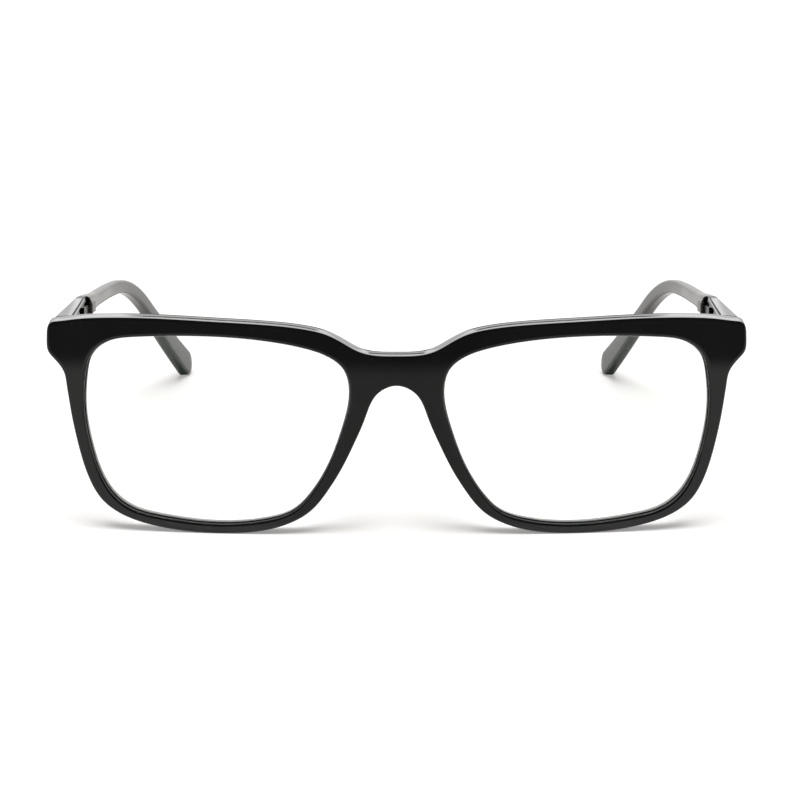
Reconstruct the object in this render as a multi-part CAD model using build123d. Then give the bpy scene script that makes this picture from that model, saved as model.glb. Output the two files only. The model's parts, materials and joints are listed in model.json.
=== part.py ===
from build123d import *
import math
import os

os.makedirs("parts", exist_ok=True)

# Square eyeglasses: an acetate front with two lenses, and two temples on hinges.
# The front is drawn upright in its own frame, with x to the right, y to the back and z up,
# its foremost line at y = 0 and its lowest edge at z = 0. It is then leaned forward and stood up.
# Each hinge has a frame of its own, with z up its axis and y along the open temple.
# Everything is made for the right side, at positive x, and mirrored to the left.

# Front: lens openings, rims and bridge
lens_width = 53.2
lens_height = 39.3
bridge_gap = 18.7
rim_side_width = 3.2
rim_bottom_width = 2.0
brow_width = 3.3
endpiece_overhang = 3.95
front_thickness = 4.0
front_setback = 5.5
front_lean_angle = 4.0
front_edge_round = 0.5
edge_match_distance = 0.05

# Lens and its groove
lens_curve_radius = 262.0
lens_thickness = 1.8
lens_depth_at_centre = 1.25
groove_depth = 0.8
groove_width = 1.0
lens_clearance = 0.05

# End blocks that carry the hinges
joint_distance = 22.8
joint_face_gap = 0.1
block_height_at_front = 5.9
block_top_inset = 1.0
block_side_inset = 0.9
block_root_slope_angle = 8.0
block_root_round = 1.2
block_edge_round = 0.6

# Hinges
hinge_axis_inset = 6.4
hinge_axis_drop = 3.6
block_inner_offset = 0.1
knuckle_radius = 1.1
knuckle_height = 0.8
knuckle_gap = 0.05
leaf_thickness = 0.7
leaf_length = 7.0
leaf_height = 2.0
leaf_gap = 0.1
leaf_clearance = 0.03
peg_radius = 0.4
peg_length = 0.7
peg_spacing = 3.2
barrel_clearance = 0.25
screw_radius = 0.55
screw_head_radius = 0.9
screw_head_height = 0.45
screw_slot_width = 0.3
screw_slot_depth = 0.2
screw_clearance = 0.03
screw_head_clearance = 0.15

# Temples
temple_straight_length = 52.0
temple_bend_radius = 88.0
temple_bend_angle = 24.6
temple_tip_length = 39.0
temple_toe_in = 10.0
temple_toe_in_start = 37.0
temple_toe_in_power = 1.57
temple_neck_length = 20.0
temple_height_at_joint = 4.0
temple_height_straight = 3.0
temple_height_after_bend = 3.7
temple_height_at_tip = 6.4
temple_thickness_at_joint = 3.0
temple_thickness_straight = 2.7
temple_thickness_at_tip = 3.0
temple_edge_round = 0.8
temple_top_above_axis = 2.7
temple_centre_out = 0.9

# Core wire inside each temple
wire_radius = 0.55
wire_start = 9.5
wire_end_margin = 12.0
wire_clearance = 0.02

# Nose pads, bonded behind the nose flanks
pad_depth = 4.0
pad_length = 13.0
pad_width = 2.3
pad_crown_length = 9.5
pad_crown_width = 1.3
pad_tilt_angle = 26.0

# How far cuts and trimmed shapes run past what trims them
overrun = 2.0

# The lens opening, seen from the front: shares of its half width towards the temple and of its half height
opening_outline_shares = [
    (1.000, 0.20), (0.985, 0.53), (0.925, 0.79), (0.800, 0.921), (0.600, 0.974), (0.300, 0.997),
    (-0.030, 0.998), (-0.380, 0.962), (-0.670, 0.891), (-0.850, 0.801), (-0.955, 0.678), (-0.998, 0.500),
    (-0.993, 0.310), (-0.945, 0.050), (-0.868, -0.250), (-0.774, -0.510), (-0.685, -0.690), (-0.565, -0.850),
    (-0.380, -0.945), (-0.120, -0.996), (0.160, -0.993), (0.450, -0.944), (0.665, -0.868), (0.800, -0.730),
    (0.890, -0.530), (0.955, -0.245),
]
# The front's outline from the middle of the bridge's top round to the middle of the nose arch.
# Bridge and arch rows are shares of half the bridge gap, rim rows of the rim's half width from its centre,
# end rows of the front's half width. Each has a share of the height from the opening's middle to the edge.
bridge_top_shares = [(0.00, 0.703), (0.40, 0.707), (0.76, 0.738), (1.10, 0.814), (1.45, 0.888)]
brow_shares = [(-0.600, 0.938), (-0.330, 0.974), (0.000, 0.993), (0.400, 1.009), (0.720, 1.002),
               (0.930, 0.978), (1.060, 0.951)]
end_shares = [
    (0.986, 0.936), (0.9945, 0.890), (0.9975, 0.820), (0.9985, 0.745), (0.9955, 0.680), (0.982, 0.622),
]
rim_outer_shares = [(1.049, 0.560), (1.018, 0.486), (1.006, 0.390), (0.995, 0.265), (0.980, 0.110),
                    (0.958, -0.065), (0.922, -0.298), (0.868, -0.532), (0.795, -0.706), (0.660, -0.848),
                    (0.440, -0.947), (0.190, -0.994), (-0.050, -1.000), (-0.270, -0.974), (-0.480, -0.892),
                    (-0.625, -0.768), (-0.739, -0.575), (-0.841, -0.340), (-0.922, -0.105)]
nose_arch_shares = [(0.670, 0.132), (0.545, 0.270), (0.440, 0.342), (0.250, 0.405), (0.000, 0.433)]
# The nose pad's middle, in the rim's shares
pad_centre_shares = (-0.868, -0.100)

# Counts: sections along the temple and along its wire, and rounds of working out the temple's slope
temple_station_count = 21
wire_station_count = 13
slope_rounds = 6

lens_centre_x = (bridge_gap + lens_width) / 2
lens_centre_z = rim_bottom_width + lens_height / 2
rim_half_width = lens_width / 2 + rim_side_width
rim_half_up = lens_height / 2 + brow_width
rim_half_down = lens_height / 2 + rim_bottom_width
front_half_width = lens_centre_x + rim_half_width + endpiece_overhang
front_height = rim_half_down + rim_half_up
front_depth = front_setback + front_thickness
front_curve_radius = (front_half_width**2 + front_setback**2) / (2 * front_setback)
back_curve_radius = front_curve_radius - front_thickness
wrap_angle = math.asin(lens_centre_x / front_curve_radius)
joint_x = front_half_width - hinge_axis_inset
joint_z = front_height - hinge_axis_drop
stack_height = 3 * knuckle_height + 2 * knuckle_gap
leaf_start = knuckle_radius + leaf_gap
relief_radius = knuckle_radius + barrel_clearance
relief_top = stack_height / 2 + screw_head_height + screw_head_clearance
temple_centre_up = temple_top_above_axis - temple_height_at_joint / 2
temple_bend_length = temple_bend_radius * math.radians(temple_bend_angle)
temple_bend_end = temple_straight_length + temple_bend_length
temple_length = temple_bend_end + temple_tip_length
wire_end = temple_length - wire_end_margin


# Front
def front_face_y(x):
    """How far the front's face lies behind its foremost line at a distance x from the middle."""
    return front_curve_radius - math.sqrt(front_curve_radius**2 - x**2)


def back_face_y(x):
    """The same for the front's back face."""
    return front_curve_radius - math.sqrt(back_curve_radius**2 - x**2)


def bridge_point(out_share, up_share):
    return (out_share * bridge_gap / 2, lens_centre_z + up_share * rim_half_up)


def rim_point(out_share, up_share):
    half = rim_half_up if up_share > 0 else rim_half_down
    return (lens_centre_x + out_share * rim_half_width, lens_centre_z + up_share * half)


def end_point(out_share, up_share):
    return (out_share * front_half_width, lens_centre_z + up_share * rim_half_up)


def front_outline():
    """The front's outline as a face in the x and z plane, its edge in a right and a left half."""
    half = [bridge_point(*row) for row in bridge_top_shares]
    half += [rim_point(*row) for row in brow_shares]
    half += [end_point(*row) for row in end_shares]
    half += [rim_point(*row) for row in rim_outer_shares]
    half += [bridge_point(*row) for row in nose_arch_shares]
    other = [(-x, z) for x, z in reversed(half[1:-1])]
    loop = Spline([(x, 0, z) for x, z in half + other], periodic=True)
    return Face(Wire([loop.trim(0, 0.5), loop.trim(0.5, 1)]))


def curved_sheet():
    """The bent sheet that the front is cut from, wider and taller than the front."""
    x = front_half_width + overrun
    face = ThreePointArc((-x, front_face_y(x)), (0, 0), (x, front_face_y(x)))
    back = ThreePointArc((x, back_face_y(x)), (0, front_thickness), (-x, back_face_y(x)))
    section = Face(Wire([face, Line(face @ 1, back @ 0), back, Line(back @ 1, face @ 0)]))
    return Pos(0, 0, -overrun) * extrude(section, front_height + 2 * overrun, dir=(0, 0, 1))


def behind_front():
    """The space behind the front's back face, which trims what is bonded to it."""
    return Pos(0, front_curve_radius, lens_centre_z) * Cylinder(back_curve_radius, 2 * front_height)


def lens_plane():
    """The right lens's plane, touching the front's face, with its z axis pointing forward."""
    origin = (lens_centre_x, front_face_y(lens_centre_x), lens_centre_z)
    across = (math.cos(wrap_angle), math.sin(wrap_angle), 0)
    return Plane(origin, x_dir=across, z_dir=(math.sin(wrap_angle), -math.cos(wrap_angle), 0))


def opening_prism(grow):
    """A prism through the rim with the opening's outline, each point moved outward by grow."""
    base = [(out * lens_width / 2, up * lens_height / 2) for out, up in opening_outline_shares]
    points = []
    for i, (x, y) in enumerate(base):
        before = base[i - 1]
        after = base[(i + 1) % len(base)]
        run = (after[0] - before[0], after[1] - before[1])
        size = math.hypot(*run)
        points.append((x + run[1] / size * grow, y - run[0] / size * grow))
    outline = Face(Wire([Spline(points, periodic=True)]))
    return lens_plane() * Pos(0, 0, -front_depth) * extrude(outline, 2 * front_depth, dir=(0, 0, 1))


def lens_shell(thickness):
    """A round cap of the lens's curve about the lens's axis, centred on its mid surface."""
    reach = lens_width
    centre_z = -lens_depth_at_centre - lens_curve_radius
    arcs = []
    for radius in (lens_curve_radius + thickness / 2, lens_curve_radius - thickness / 2):
        half = reach / 2
        rim = (reach, centre_z + math.sqrt(radius**2 - reach**2))
        middle = (half, centre_z + math.sqrt(radius**2 - half**2))
        arcs.append(ThreePointArc((0, centre_z + radius), middle, rim))
    section = Wire([arcs[0], Line(arcs[0] @ 1, arcs[1] @ 1), arcs[1], Line(arcs[1] @ 0, arcs[0] @ 0)])
    cap = revolve(Plane.XZ * Face(section), Axis.Z)
    return lens_plane() * cap


def long_edges(solid, known):
    """The edges of a solid that run round an outline and aren't among those known before."""
    places = [edge.center() for edge in known]
    found = []
    for edge in solid.edges():
        new = all((edge.center() - place).length > edge_match_distance for place in places)
        if edge.length > lens_width and new:
            found.append(edge)
    return found


def make_front():
    outline = Pos(0, -overrun, 0) * extrude(front_outline(), front_depth + 2 * overrun, dir=(0, 1, 0))
    blank = outline & curved_sheet()
    blank = fillet(long_edges(blank, []), front_edge_round)
    before = blank.edges()
    opening = opening_prism(0)
    blank = blank - opening - mirror(opening, about=Plane.YZ)
    blank = fillet(long_edges(blank, before), front_edge_round)
    groove = opening_prism(groove_depth) & lens_shell(groove_width)
    return blank - groove - mirror(groove, about=Plane.YZ)


def make_lens():
    body = opening_prism(-lens_clearance) & lens_shell(lens_thickness)
    ridge = opening_prism(groove_depth - lens_clearance) & lens_shell(groove_width - 2 * lens_clearance)
    return body + ridge


# Shapes shared by the hinges' pieces, in the right hinge's frame
def box_between(low, high):
    """A box between its lowest and its highest corner."""
    size = [b - a for a, b in zip(low, high)]
    middle = [(a + b) / 2 for a, b in zip(low, high)]
    return Pos(*middle) * Box(*size)


def peg_rods(y_middle, x_start, radius, x_end):
    """The two pegs of a leaf, or the holes for them, running outward."""
    rods = Part()
    for side in (-1, 1):
        middle = Pos((x_start + x_end) / 2, y_middle + side * peg_spacing / 2, 0)
        rods += middle * Rot(Y=90) * Cylinder(radius, x_end - x_start)
    return rods


def screw_hole():
    return Cylinder(screw_radius + screw_clearance, stack_height + 2 * overrun)


def hinge_relief():
    """The round space in a block's or temple's end for the barrel and the screw, open below."""
    low = temple_centre_up - temple_height_at_joint
    return Pos(0, 0, (low + relief_top) / 2) * Cylinder(relief_radius, relief_top - low)


def front_leaf_body(grow):
    """The plate and pegs of the front's leaf, or with grow the pocket that holds them."""
    half = leaf_thickness / 2
    up = leaf_height / 2
    plate = box_between((-half, -leaf_start - leaf_length - grow, -up - grow),
                        (half + grow, -leaf_start + grow, up + grow))
    return plate + peg_rods(-leaf_start - leaf_length / 2, 0, peg_radius + grow, half + peg_length + grow)


def temple_leaf_body(grow):
    """The plate and pegs of the temple's leaf, or with grow the pocket that holds them."""
    up = leaf_height / 2
    plate = box_between((-leaf_thickness, leaf_start - grow, -up - grow),
                        (grow, leaf_start + leaf_length + grow, up + grow))
    return plate + peg_rods(leaf_start + leaf_length / 2, -leaf_thickness / 2, peg_radius + grow,
                            peg_length + grow)


def make_front_leaf():
    leaf = front_leaf_body(0)
    half = leaf_thickness / 2
    for side in (-1, 1):
        middle = side * (knuckle_height + knuckle_gap)
        leaf += Pos(0, 0, middle) * Cylinder(knuckle_radius, knuckle_height)
        leaf += box_between((-half, -leaf_start, middle - knuckle_height / 2),
                            (half, 0, middle + knuckle_height / 2))
    return leaf - screw_hole()


def make_temple_leaf():
    half = knuckle_height / 2
    leaf = temple_leaf_body(0) + Cylinder(knuckle_radius, knuckle_height)
    leaf += box_between((-leaf_thickness, 0, -half), (0, leaf_start, half))
    return leaf - screw_hole()


def make_screw():
    head_middle = (stack_height + screw_head_height) / 2
    screw = Cylinder(screw_radius, stack_height)
    screw += Pos(0, 0, head_middle) * Cylinder(screw_head_radius, screw_head_height)
    slot_low = stack_height / 2 + screw_head_height - screw_slot_depth
    slot = box_between((-screw_head_radius, -screw_slot_width / 2, slot_low),
                       (screw_head_radius, screw_slot_width / 2, slot_low + overrun))
    return screw - slot


# End block and nose pad, bonded behind the front
def make_end_block(stand, hinge):
    """A lug whose root follows the front's corner and whose end matches the temple's."""
    inner = joint_x + block_inner_offset
    outer = front_half_width - block_side_inset
    top = front_height - block_top_inset
    root_middle = ((inner + outer) / 2, front_setback + front_thickness / 2, top - block_height_at_front / 2)
    root = Plane(root_middle, x_dir=(1, 0, 0), z_dir=(0, 1, 0)) * Rot(Z=block_root_slope_angle)
    root_face = RectangleRounded(outer - inner, block_height_at_front, block_root_round)
    end_outer = temple_centre_out + temple_thickness_at_joint / 2
    end_middle = ((block_inner_offset + end_outer) / 2, -joint_face_gap / 2, temple_centre_up)
    end = Plane(end_middle, x_dir=(1, 0, 0), z_dir=(0, 1, 0))
    end_face = RectangleRounded(end_outer - block_inner_offset, temple_height_at_joint, block_edge_round)
    block = loft([(stand * (root * root_face)).face(), (hinge * (end * end_face)).face()], ruled=True)
    block = block & (stand * behind_front())
    return block - hinge * hinge_relief() - hinge * front_leaf_body(leaf_clearance)


def make_nose_pad():
    x, z = rim_point(*pad_centre_shares)
    turn = Rot(Z=90 - pad_tilt_angle)
    base = Plane((x, front_thickness / 2, z), x_dir=(1, 0, 0), z_dir=(0, 1, 0))
    crown = Plane((x, front_thickness + pad_depth, z), x_dir=(1, 0, 0), z_dir=(0, 1, 0))
    base_face = base * (turn * SlotOverall(pad_length, pad_width))
    crown_face = crown * (turn * SlotOverall(pad_crown_length, pad_crown_width))
    return loft([base_face.face(), crown_face.face()], ruled=True) & behind_front()


# Temple, in the right hinge's frame: lengths t run along its centre line from the joint
def blend(first, last, share):
    """A value that eases from first to last."""
    return first + (last - first) * (1 - math.cos(math.pi * share)) / 2


def temple_side(t):
    """The centre line seen from the side: how far along, how far up, and its slope down in radians."""
    along = min(t, temple_straight_length)
    turned = min(max(t - temple_straight_length, 0), temple_bend_length) / temple_bend_radius
    after = max(t - temple_bend_end, 0)
    y = along + temple_bend_radius * math.sin(turned) + after * math.cos(turned)
    z = -temple_bend_radius * (1 - math.cos(turned)) - after * math.sin(turned)
    return (y, temple_centre_up + z, turned)


def temple_plane(t):
    """The plane across the temple, with x outward and z along the temple."""
    y, z, turned = temple_side(t)
    run = temple_length - temple_toe_in_start
    share = max(t - temple_toe_in_start, 0) / run
    slope = -temple_toe_in_power * temple_toe_in * share ** (temple_toe_in_power - 1) / run
    across = (1, -slope * math.cos(turned), slope * math.sin(turned))
    forward = (slope, math.cos(turned), -math.sin(turned))
    x = temple_centre_out - temple_toe_in * share**temple_toe_in_power
    return Plane((x, y, z), x_dir=across, z_dir=forward)


def temple_section(t):
    """The temple's height and thickness."""
    if t < temple_neck_length:
        share = t / temple_neck_length
        return (blend(temple_height_at_joint, temple_height_straight, share),
                blend(temple_thickness_at_joint, temple_thickness_straight, share))
    rear = max(t - temple_straight_length, 0) / (temple_length - temple_straight_length)
    thickness = blend(temple_thickness_straight, temple_thickness_at_tip, rear)
    if t < temple_bend_end:
        share = max(t - temple_straight_length, 0) / temple_bend_length
        return (blend(temple_height_straight, temple_height_after_bend, share), thickness)
    share = (t - temple_bend_end) / temple_tip_length
    return (temple_height_after_bend + (temple_height_at_tip - temple_height_after_bend) * share, thickness)


def temple_stations(start, end, count):
    """Lengths along the temple, evenly spaced from start to end."""
    return [start + (end - start) * i / (count - 1) for i in range(count)]


def rounded_section(width, height, radius):
    """A rectangle with round corners, or a circle, its edges always in the same order."""
    right = width / 2 - radius
    up = height / 2 - radius
    corners = [(right, up, 0), (-right, up, 90), (-right, -up, 180), (right, -up, 270)]
    arcs = [CenterArc((x, y, 0), radius, angle, 90) for x, y, angle in corners]
    edges = []
    for arc, after in zip(arcs, arcs[1:] + arcs[:1]):
        edges.append(arc)
        if right > 0 or up > 0:
            edges.append(Line(arc @ 1, after @ 0))
    return Face(Wire(edges))


def wire_rod(radius):
    """The core wire, or the channel that it fills."""
    lengths = temple_stations(wire_start, wire_end, wire_station_count)
    return loft([temple_plane(t) * rounded_section(2 * radius, 2 * radius, radius) for t in lengths])


def make_temple():
    faces = []
    for t in temple_stations(joint_face_gap / 2, temple_length, temple_station_count):
        height, thickness = temple_section(t)
        faces.append(temple_plane(t) * rounded_section(thickness, height, temple_edge_round))
    height, thickness = temple_section(temple_length)
    whole = RectangleRounded(thickness, height, temple_edge_round)
    half = whole & Pos(0, height / 2, 0) * Rectangle(thickness, height)
    cap = revolve(half, Axis.X, revolution_arc=180)
    temple = loft(faces) + temple_plane(temple_length) * cap
    temple = temple - hinge_relief() - temple_leaf_body(leaf_clearance)
    return temple - wire_rod(wire_radius + wire_clearance)


def temple_slope(joint_height):
    """The hinge's lean, in radians, at which the round tip just rests on what the front stands on."""
    height, thickness = temple_section(temple_length)
    y, z, turned = temple_side(temple_length)
    across = temple_plane(temple_length).x_dir
    reach = math.hypot(y, z)
    dip = math.atan2(-z, y)
    slope = 0
    for _ in range(slope_rounds):
        lift = abs(across.Z * math.cos(slope) - across.Y * math.sin(slope))
        low = (height / 2 - temple_edge_round) * math.sqrt(1 - lift**2)
        low += (thickness / 2 - temple_edge_round) * lift + temple_edge_round
        slope = math.asin((joint_height - low) / reach) - dip
    return slope


# Standing the front, placing the hinge and the origin
front = make_front()
lean = Rot(X=front_lean_angle)
stand = Pos(0, 0, -(lean * front).bounding_box().min.Z) * lean
joint = (stand * Pos(joint_x, joint_distance, joint_z)).position
slope = temple_slope(joint.Z)
hinge = Plane(joint, x_dir=(1, 0, 0), z_dir=(0, math.sin(slope), math.cos(slope))).location
temple = hinge * make_temple()
front = stand * front
centre_y = (front.bounding_box().min.Y + temple.bounding_box().max.Y) / 2
origin = Pos(0, -centre_y, 0)

right_pieces = {
    "lens": stand * make_lens(),
    "nose_pad": stand * make_nose_pad(),
    "end_block": make_end_block(stand, hinge),
    "hinge_front": hinge * make_front_leaf(),
    "hinge_temple": hinge * make_temple_leaf(),
    "hinge_screw": hinge * make_screw(),
    "temple": temple,
    "core_wire": hinge * wire_rod(wire_radius),
}
export_step(origin * front, "parts/front_frame.step")
for name, piece in right_pieces.items():
    export_step(origin * piece, "parts/" + name + "_right.step")
    export_step(origin * mirror(piece, about=Plane.YZ), "parts/" + name + "_left.step")

print("width, height at the front, temple length:", 2 * front_half_width, front_height, temple_length)
print("hinge axis at", joint.X, joint.Y - centre_y, joint.Z, "lean in degrees", math.degrees(slope))
print("direction of the axis", 0, math.sin(slope), math.cos(slope), "origin moved back by", centre_y)
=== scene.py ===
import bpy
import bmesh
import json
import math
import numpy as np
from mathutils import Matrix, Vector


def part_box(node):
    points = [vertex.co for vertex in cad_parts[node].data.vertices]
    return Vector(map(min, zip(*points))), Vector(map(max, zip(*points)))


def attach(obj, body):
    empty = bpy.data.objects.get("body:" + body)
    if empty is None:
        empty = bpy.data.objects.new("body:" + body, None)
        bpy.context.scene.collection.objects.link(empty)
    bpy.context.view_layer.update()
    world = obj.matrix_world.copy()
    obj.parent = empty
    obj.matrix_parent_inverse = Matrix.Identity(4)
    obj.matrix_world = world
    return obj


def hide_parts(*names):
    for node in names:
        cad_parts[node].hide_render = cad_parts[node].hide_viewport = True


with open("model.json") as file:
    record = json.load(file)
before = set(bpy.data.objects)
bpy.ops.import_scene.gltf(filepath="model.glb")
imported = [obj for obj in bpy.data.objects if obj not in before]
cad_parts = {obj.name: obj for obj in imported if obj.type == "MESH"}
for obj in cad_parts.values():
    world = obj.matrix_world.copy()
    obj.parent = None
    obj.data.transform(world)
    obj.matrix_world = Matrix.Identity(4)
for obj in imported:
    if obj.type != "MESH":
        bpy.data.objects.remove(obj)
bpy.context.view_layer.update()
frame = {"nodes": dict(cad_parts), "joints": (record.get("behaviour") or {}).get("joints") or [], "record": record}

# %% [markdown]
# # Black acetate eyeglasses
# A pair of square eyeglasses stands open on a white table. The frame that was just loaded holds the
# measured solids: one front, two lenses, two temples and the small pieces that join them. This lesson
# builds the pieces that the eye sees again as clean meshes, because polished black plastic shows every
# uneven triangle.

MM = 0.001


def colour(code):
    """An sRGB hex code as the linear colour that Blender's sockets take."""
    parts = [int(code[i:i + 2], 16) / 255 for i in (1, 3, 5)]
    return [c / 12.92 if c <= 0.04045 else ((c + 0.055) / 1.055) ** 2.4 for c in parts] + [1.0]


def add_node(tree, kind, settings=None, links=None):
    """Adds a node, sets its properties and sockets, and links sockets to others' outputs."""
    node = tree.nodes.new(kind)
    for name, value in (settings or {}).items():
        if isinstance(name, int) or name in node.inputs:
            node.inputs[name].default_value = value
        else:
            setattr(node, name, value)
    for name, output in (links or {}).items():
        tree.links.new(output, node.inputs[name])
    return node


def new_material(name):
    """An empty node material with its output node."""
    made = bpy.data.materials.new(name)
    made.use_nodes = True
    made.node_tree.nodes.clear()
    output = add_node(made.node_tree, "ShaderNodeOutputMaterial")
    return made, made.node_tree, output


# %% [markdown]
# ## Camera
# The photograph was taken from a little above with a short telephoto lens. The camera's place was worked
# out from the frame itself: the spacing of the lens openings gives the distance, and how far the temple
# tips sit above the lower rims in the picture gives the tilt.

# %% Camera
FRONT_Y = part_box("front_frame")[0][1]
CAMERA_DISTANCE, CAMERA_HEIGHT = 0.48092, 0.14875
CAMERA_DOWN, CAMERA_RIGHT = 14.0, 0.079
FOCAL_PIXELS, PICTURE_PIXELS, SENSOR = 2510, 800, 36.0
camera_data = bpy.data.cameras.new("camera")
camera_data.sensor_width = SENSOR
camera_data.lens = FOCAL_PIXELS / PICTURE_PIXELS * SENSOR
camera_data.clip_start = 0.01
camera_data.clip_end = 20
camera = bpy.data.objects.new("camera", camera_data)
camera.location = (0, FRONT_Y - CAMERA_DISTANCE, CAMERA_HEIGHT)
camera.rotation_euler = (math.radians(90 - CAMERA_DOWN), 0, math.radians(-CAMERA_RIGHT))
bpy.context.scene.collection.objects.link(camera)
bpy.context.scene.camera = camera
print("camera", tuple(round(c, 4) for c in camera.location), "focal length", round(camera_data.lens, 2))

# %% [markdown]
# ## Black acetate
# The front and the temples are cellulose acetate: sheet that is milled, tumbled in wooden chips for days
# and then buffed by hand. It is black all through, with a gloss like deep lacquer. Buffing leaves the
# surface very slightly wavy, which makes reflections swim, and a faint haze of lines finer than a hair.

# %% Black acetate
# The eye sees a deep black with sharp, slightly swimming reflections and the faintest haze.
ACETATE_INDEX, LENS_INDEX = 1.47, 1.498
BUFFING_WAVE, HAZE_LINE, PIGMENT_CLOUD = 7 * MM, 1.6 * MM, 9 * MM
WAVE_DEPTH = 0.02 * MM
acetate, tree, output = new_material("buffed_black_cellulose_acetate")
where = add_node(tree, "ShaderNodeTexCoord")
swirl = add_node(tree, "ShaderNodeTexNoise", {"Scale": 1 / BUFFING_WAVE, "Detail": 1.0, "Roughness": 0.4},
                 {"Vector": where.outputs["Object"]})
haze_place = add_node(tree, "ShaderNodeMapping", {"Scale": (1.0, 0.35, 1.0)},
                      {"Vector": where.outputs["Object"]})
haze = add_node(tree, "ShaderNodeTexNoise", {"Scale": 1 / HAZE_LINE, "Detail": 4.0, "Roughness": 0.65},
                {"Vector": haze_place.outputs[0]})
polish = add_node(tree, "ShaderNodeMapRange",
                  {"From Min": 0.3, "From Max": 0.75, "To Min": 0.035, "To Max": 0.085},
                  {"Value": haze.outputs["Fac"]})
cloud = add_node(tree, "ShaderNodeTexNoise", {"Scale": 1 / PIGMENT_CLOUD, "Detail": 2.0},
                 {"Vector": where.outputs["Object"]})
pigment = add_node(tree, "ShaderNodeMixRGB", {"Color1": colour("#0a0a0b"), "Color2": colour("#131314")},
                   {"Fac": cloud.outputs["Fac"]})
waves = add_node(tree, "ShaderNodeBump", {"Strength": 0.35, "Distance": WAVE_DEPTH},
                 {"Height": swirl.outputs["Fac"]})
gloss = add_node(tree, "ShaderNodeBsdfPrincipled", {"IOR": ACETATE_INDEX},
                 {"Base Color": pigment.outputs[0], "Roughness": polish.outputs[0],
                  "Normal": waves.outputs[0]})
tree.links.new(gloss.outputs[0], output.inputs["Surface"])
print(acetate.name, "waves", BUFFING_WAVE / MM, "mm long and", WAVE_DEPTH / MM, "mm deep")

# %% [markdown]
# ## Lens plastic
# Clear lenses are cast from CR-39, a hard allyl plastic, and get a vacuum coating that takes most of the
# reflection away and leaves what is left a little green. The sockets for that are constant numbers. A
# cleaning cloth leaves a film too thin to see except as a trace of softness in the reflections.

# %% Lens plastic
# The eye looks straight through it and sees little more than its rim.
CLOTH_FILM = 11 * MM
lens_plastic, tree, output = new_material("coated_cr39_lens_plastic")
where = add_node(tree, "ShaderNodeTexCoord")
film = add_node(tree, "ShaderNodeTexNoise", {"Scale": 1 / CLOTH_FILM, "Detail": 3.0},
                {"Vector": where.outputs["Object"]})
smear = add_node(tree, "ShaderNodeMapRange",
                 {"From Min": 0.35, "From Max": 0.75, "To Min": 0.0, "To Max": 0.002},
                 {"Value": film.outputs["Fac"]})
tint = add_node(tree, "ShaderNodeMixRGB", {"Color1": colour("#fefffe"), "Color2": colour("#fcfefd")},
                {"Fac": film.outputs["Fac"]})
clear = add_node(tree, "ShaderNodeBsdfPrincipled", {
    "IOR": LENS_INDEX, "Transmission Weight": 1.0, "Specular IOR Level": 0.14,
    "Specular Tint": colour("#bfe8cf")},
    {"Base Color": tint.outputs[0], "Roughness": smear.outputs[0]})
tree.links.new(clear.outputs[0], output.inputs["Surface"])
print(lens_plastic.name, "bends light by an index of", LENS_INDEX)

# %% [markdown]
# ## Ground lens edge
# A lens's edge is cut by a diamond wheel and stays frosted. Through the rim of the lens it shows as a pale
# grey band with fine grinding lines, where a polished edge would mirror the room.

# %% Ground lens edge
# The eye sees a thin frosted grey line just inside the rim.
GRIT, GRIT_DEPTH = 0.3 * MM, 0.01 * MM
ground_edge, tree, output = new_material("ground_cr39_edge")
where = add_node(tree, "ShaderNodeTexCoord")
grit = add_node(tree, "ShaderNodeTexNoise", {"Scale": 1 / GRIT, "Detail": 3.0},
                {"Vector": where.outputs["Object"]})
frost = add_node(tree, "ShaderNodeMixRGB", {"Color1": colour("#8c8d8b"), "Color2": colour("#a3a4a1")},
                 {"Fac": grit.outputs["Fac"]})
grain = add_node(tree, "ShaderNodeBump", {"Strength": 0.4, "Distance": GRIT_DEPTH},
                 {"Height": grit.outputs["Fac"]})
matte = add_node(tree, "ShaderNodeBsdfPrincipled", {"IOR": LENS_INDEX, "Roughness": 0.55},
                 {"Base Color": frost.outputs[0], "Normal": grain.outputs[0]})
tree.links.new(matte.outputs[0], output.inputs["Surface"])
print(ground_edge.name, "grain", GRIT / MM, "mm")

# %% [markdown]
# ## Hinge metal and core wire
# Hinges are stamped from nickel silver, brushed along their length, and on a black frame plated gunmetal, a
# dark warm grey. The wires in the temples are drawn through dies, which leaves lines along them.


# %% Brushed metals
LINE_DEPTH = 0.01 * MM


def brushed_metal(name, light, dark, line_width, roughness):
    """A metal with fine lines along the temples' direction."""
    made, tree, output = new_material(name)
    where = add_node(tree, "ShaderNodeTexCoord")
    turned = add_node(tree, "ShaderNodeMapping", {"Scale": (1.0, 0.05, 1.0)},
                      {"Vector": where.outputs["Object"]})
    lines = add_node(tree, "ShaderNodeTexNoise", {"Scale": 1 / line_width, "Detail": 3.0, "Roughness": 0.7},
                     {"Vector": turned.outputs[0]})
    tone = add_node(tree, "ShaderNodeMixRGB", {"Color1": colour(dark), "Color2": colour(light)},
                    {"Fac": lines.outputs["Fac"]})
    rough = add_node(tree, "ShaderNodeMapRange", {"To Min": roughness - 0.08, "To Max": roughness + 0.12},
                     {"Value": lines.outputs["Fac"]})
    ridges = add_node(tree, "ShaderNodeBump", {"Strength": 0.5, "Distance": LINE_DEPTH},
                      {"Height": lines.outputs["Fac"]})
    metal = add_node(tree, "ShaderNodeBsdfPrincipled", {"Metallic": 1.0},
                     {"Base Color": tone.outputs[0], "Roughness": rough.outputs[0],
                      "Normal": ridges.outputs[0]})
    tree.links.new(metal.outputs[0], output.inputs["Surface"])
    return made


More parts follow.
